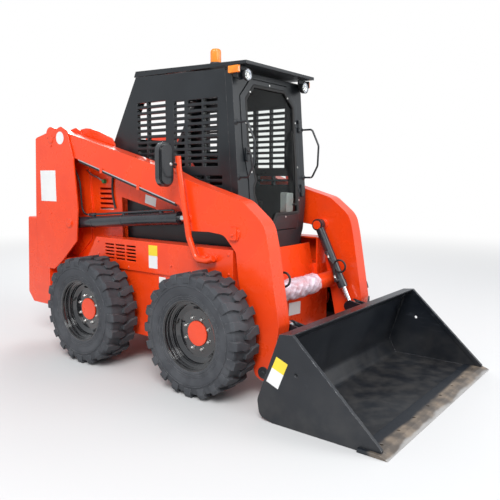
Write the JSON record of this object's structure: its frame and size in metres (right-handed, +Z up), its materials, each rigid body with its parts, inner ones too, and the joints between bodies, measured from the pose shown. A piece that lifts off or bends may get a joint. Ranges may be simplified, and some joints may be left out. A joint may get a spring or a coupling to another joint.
{
  "type": "skid steer loader",
  "caption": "Compact wheeled loader with a slotted cab, radial lift arms pivoted on rear towers, hydraulic cylinders, and a smooth-lipped bucket flat on the ground.",
  "frame": {"origin": "on the ground under the middle of the machine's length and width", "axes": "+X forward towards the bucket, +Y to the operator's left, +Z up"},
  "size_m": [3.4235, 1.7, 2.1697],
  "materials": {
    "orange_paint": "glossy orange enamel",
    "black_paint": "satin black enamel",
    "bucket_black": "satin black enamel, scuffed",
    "engine_iron": "plain cast iron",
    "glass": "clear cab glass",
    "seat_vinyl": "black vinyl",
    "black_plastic": "moulded black plastic",
    "lamp_glass": "clear lamp lens",
    "amber_plastic": "amber lens",
    "chrome_rod": "hard chromed rod",
    "worn_steel": "dull steel, scuffed",
    "tyre_rubber": "tyre rubber",
    "hose_rubber": "hydraulic hose"
  },
  "bodies": {
    "chassis": {"beacon": "amber_plastic", "cab_front": "black_paint", "cab_rear": "black_paint", "cab_roof": "black_paint", "cab_side_left": "black_paint", "cab_side_right": "black_paint", "control_levers": "black_plastic", "engine_block": "engine_iron", "engine_hinges": "orange_paint", "engine_hood": "orange_paint", "grab_handles": "black_paint", "main_frame": "orange_paint", "mirror_posts": "orange_paint", "mirrors": "black_plastic", "rear_guards": "orange_paint", "seat_back": "seat_vinyl", "seat_cushion": "seat_vinyl", "seat_frame": "black_paint", "side_frame_left": "orange_paint", "side_frame_right": "orange_paint", "side_panel_left": "orange_paint", "side_panel_right": "orange_paint", "tower_left": "orange_paint", "tower_right": "orange_paint", "work_lamps": "lamp_glass"},
    "cab_door": {"door_frame": "black_paint", "door_glass": "glass"},
    "rear_door": {"engine_door": "orange_paint"},
    "lift_arm": {"arm_left": "orange_paint", "arm_right": "orange_paint", "cross_tube": "orange_paint"},
    "bucket": {"bucket_shell": "bucket_black", "coupler": "bucket_black", "cutting_edge": "worn_steel"},
    "lift_barrel_right": {"lift_barrel_right": "black_paint", "lift_hose_right": "hose_rubber"},
    "lift_rod_right": {"lift_rod_right": "chrome_rod"},
    "tilt_barrel_right": {"tilt_barrel_right": "black_paint", "tilt_hose_right": "hose_rubber"},
    "tilt_rod_right": {"tilt_rod_right": "chrome_rod"},
    "wheel_front_right": {"tyre_front_right": "tyre_rubber", "rim_front_right": "black_paint", "hub_front_right": "orange_paint"},
    "wheel_rear_right": {"tyre_rear_right": "tyre_rubber", "rim_rear_right": "black_paint", "hub_rear_right": "orange_paint"},
    "lift_barrel_left": {"lift_barrel_left": "black_paint", "lift_hose_left": "hose_rubber"},
    "lift_rod_left": {"lift_rod_left": "chrome_rod"},
    "tilt_barrel_left": {"tilt_barrel_left": "black_paint", "tilt_hose_left": "hose_rubber"},
    "tilt_rod_left": {"tilt_rod_left": "chrome_rod"},
    "wheel_front_left": {"tyre_front_left": "tyre_rubber", "rim_front_left": "black_paint", "hub_front_left": "orange_paint"},
    "wheel_rear_left": {"tyre_rear_left": "tyre_rubber", "rim_rear_left": "black_paint", "hub_rear_left": "orange_paint"}
  },
  "joints": [
    {"name": "arm_lift", "type": "hinge", "parent": "chassis", "child": "lift_arm", "pos_m": [-1.305, 0, 1.638], "axis": [0, -1, 0], "range_deg": [0, 60]},
    {"name": "bucket_tilt", "type": "hinge", "parent": "lift_arm", "child": "bucket", "pos_m": [0.788, 0, 0.172], "axis": [0, 1, 0], "range_deg": [-25, 95]},
    {"name": "cab_door_hinge", "type": "hinge", "parent": "chassis", "child": "cab_door", "pos_m": [0.481, 0.338, 0.857], "axis": [-0.0715, 0, 0.9974], "range_deg": [0, 100]},
    {"name": "rear_door_hinge", "type": "hinge", "parent": "chassis", "child": "rear_door", "pos_m": [-1.574, 0.419, 0.75], "axis": [0, 0, -1], "range_deg": [0, 95]},
    {"name": "lift_barrel_swing_right", "type": "hinge", "parent": "chassis", "child": "lift_barrel_right", "pos_m": [-1.097, -0.5275, 0.985], "axis": [0, -1, 0], "range_deg": [0, 54.27]},
    {"name": "lift_rod_slide_right", "type": "slide", "parent": "lift_barrel_right", "child": "lift_rod_right", "axis": [0.9971, 0, 0.0756], "range_m": [0, 0.6675]},
    {"name": "tilt_barrel_swing_right", "type": "hinge", "parent": "lift_arm", "child": "tilt_barrel_right", "pos_m": [0.558, -0.41, 0.995], "axis": [0, 1, 0], "range_deg": [-1.53, 0.48]},
    {"name": "tilt_rod_slide_right", "type": "slide", "parent": "tilt_barrel_right", "child": "tilt_rod_right", "axis": [0.4416, 0, -0.8972], "range_m": [-0.0883, 0.3326]},
    {"name": "lift_barrel_swing_left", "type": "hinge", "parent": "chassis", "child": "lift_barrel_left", "pos_m": [-1.097, 0.5275, 0.985], "axis": [0, -1, 0], "range_deg": [0, 54.27]},
    {"name": "lift_rod_slide_left", "type": "slide", "parent": "lift_barrel_left", "child": "lift_rod_left", "axis": [0.9971, 0, 0.0756], "range_m": [0, 0.6675]},
    {"name": "tilt_barrel_swing_left", "type": "hinge", "parent": "lift_arm", "child": "tilt_barrel_left", "pos_m": [0.558, 0.41, 0.995], "axis": [0, 1, 0], "range_deg": [-1.53, 0.48]},
    {"name": "tilt_rod_slide_left", "type": "slide", "parent": "tilt_barrel_left", "child": "tilt_rod_left", "axis": [0.4416, 0, -0.8972], "range_m": [-0.0883, 0.3326]},
    {"name": "wheel_front_right_spin", "type": "hinge", "parent": "chassis", "child": "wheel_front_right", "pos_m": [0.3995, -0.73, 0.385], "axis": [0, 1, 0], "continuous": true},
    {"name": "wheel_front_left_spin", "type": "hinge", "parent": "chassis", "child": "wheel_front_left", "pos_m": [0.3995, 0.73, 0.385], "axis": [0, 1, 0], "continuous": true},
    {"name": "wheel_rear_right_spin", "type": "hinge", "parent": "chassis", "child": "wheel_rear_right", "pos_m": [-0.6835, -0.73, 0.385], "axis": [0, 1, 0], "continuous": true},
    {"name": "wheel_rear_left_spin", "type": "hinge", "parent": "chassis", "child": "wheel_rear_left", "pos_m": [-0.6835, 0.73, 0.385], "axis": [0, 1, 0], "continuous": true}
  ],
  "couplings": [
    {"joint": "lift_barrel_swing_right", "follows": "arm_lift", "ratio": 0.90288},
    {"joint": "lift_rod_slide_right", "follows": "arm_lift", "m_per_rad": 0.63649},
    {"joint": "tilt_barrel_swing_right", "follows": "bucket_tilt", "ratio": -0.015076},
    {"joint": "tilt_rod_slide_right", "follows": "bucket_tilt", "m_per_rad": 0.2},
    {"joint": "lift_barrel_swing_left", "follows": "arm_lift", "ratio": 0.90288},
    {"joint": "lift_rod_slide_left", "follows": "arm_lift", "m_per_rad": 0.63649},
    {"joint": "tilt_barrel_swing_left", "follows": "bucket_tilt", "ratio": -0.015076},
    {"joint": "tilt_rod_slide_left", "follows": "bucket_tilt", "m_per_rad": 0.2}
  ]
}
